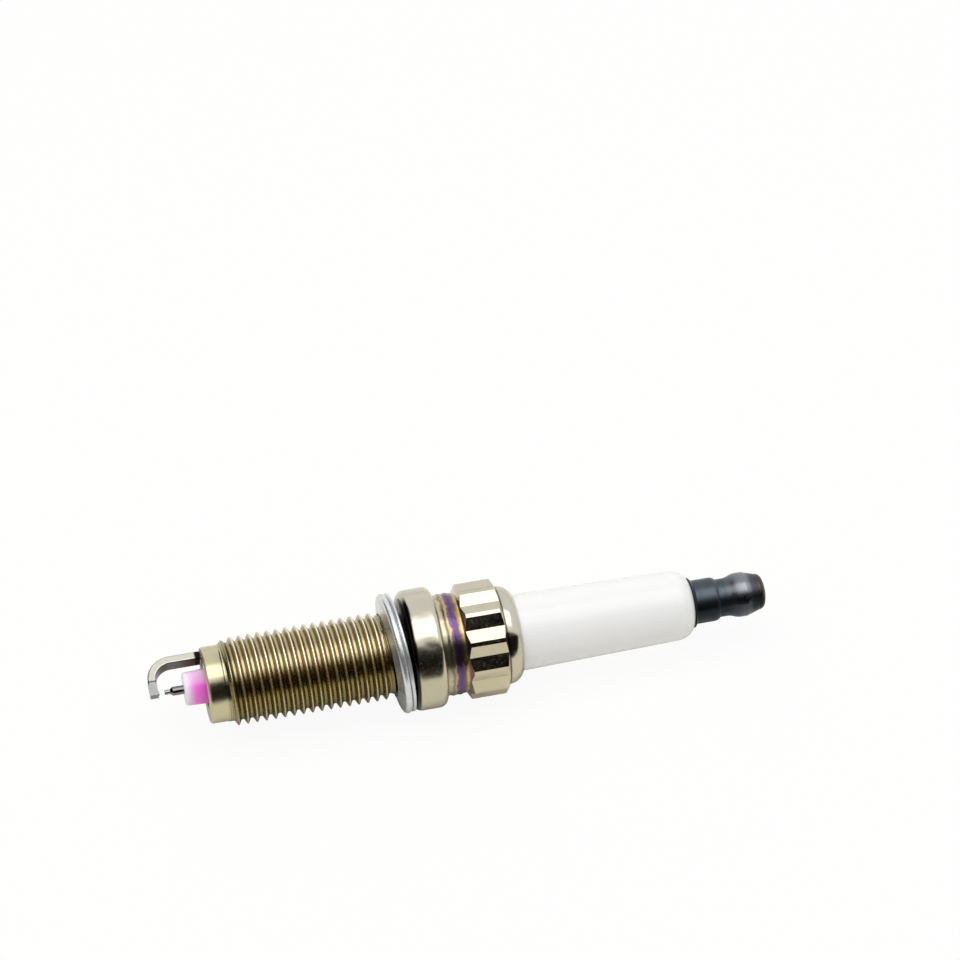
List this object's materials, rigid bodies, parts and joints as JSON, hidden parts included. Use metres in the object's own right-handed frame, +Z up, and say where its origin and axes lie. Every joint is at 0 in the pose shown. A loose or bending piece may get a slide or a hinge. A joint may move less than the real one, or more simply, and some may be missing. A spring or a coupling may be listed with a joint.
{
  "type": "spark plug",
  "caption": "Slim long-reach spark plug: threaded shell with loose gasket, collar, bi-hex drive and crimped rim, white insulator, dark terminal, fine-wire electrode and bent ground strap.",
  "frame": {"origin": "on the plug's axis, in the plane of the collar's seat", "axes": "+X along the axis from the electrodes to the terminal, +Z up with the plug lying on its side"},
  "size_m": [0.0841, 0.0164, 0.0164],
  "materials": {
    "shell_steel": "satin",
    "gasket_steel": "satin",
    "ring_steel": "satin",
    "ceramic": "gloss",
    "terminal_steel": "satin",
    "stud_steel": "satin",
    "seal_glass": "matte",
    "resistor": "matte",
    "nickel": "satin",
    "copper": "satin",
    "precious_metal": "polished"
  },
  "bodies": {
    "plug": {"shell": "shell_steel", "inner_seal_ring": "ring_steel", "insulator": "ceramic", "terminal_nut": "terminal_steel", "terminal_stud": "stud_steel", "upper_glass_seal": "seal_glass", "resistor_core": "resistor", "lower_glass_seal": "seal_glass", "centre_electrode": "nickel", "centre_electrode_core": "copper", "centre_electrode_tip": "precious_metal", "ground_electrode": "nickel", "ground_electrode_core": "copper", "ground_electrode_pad": "precious_metal"},
    "gasket": {"sealing_gasket": "gasket_steel"}
  },
  "joints": [
    {"name": "gasket_slide", "type": "slide", "parent": "plug", "child": "gasket", "axis": [1, 0, 0], "range_m": [-0.0003, 0.00005]}
  ]
}
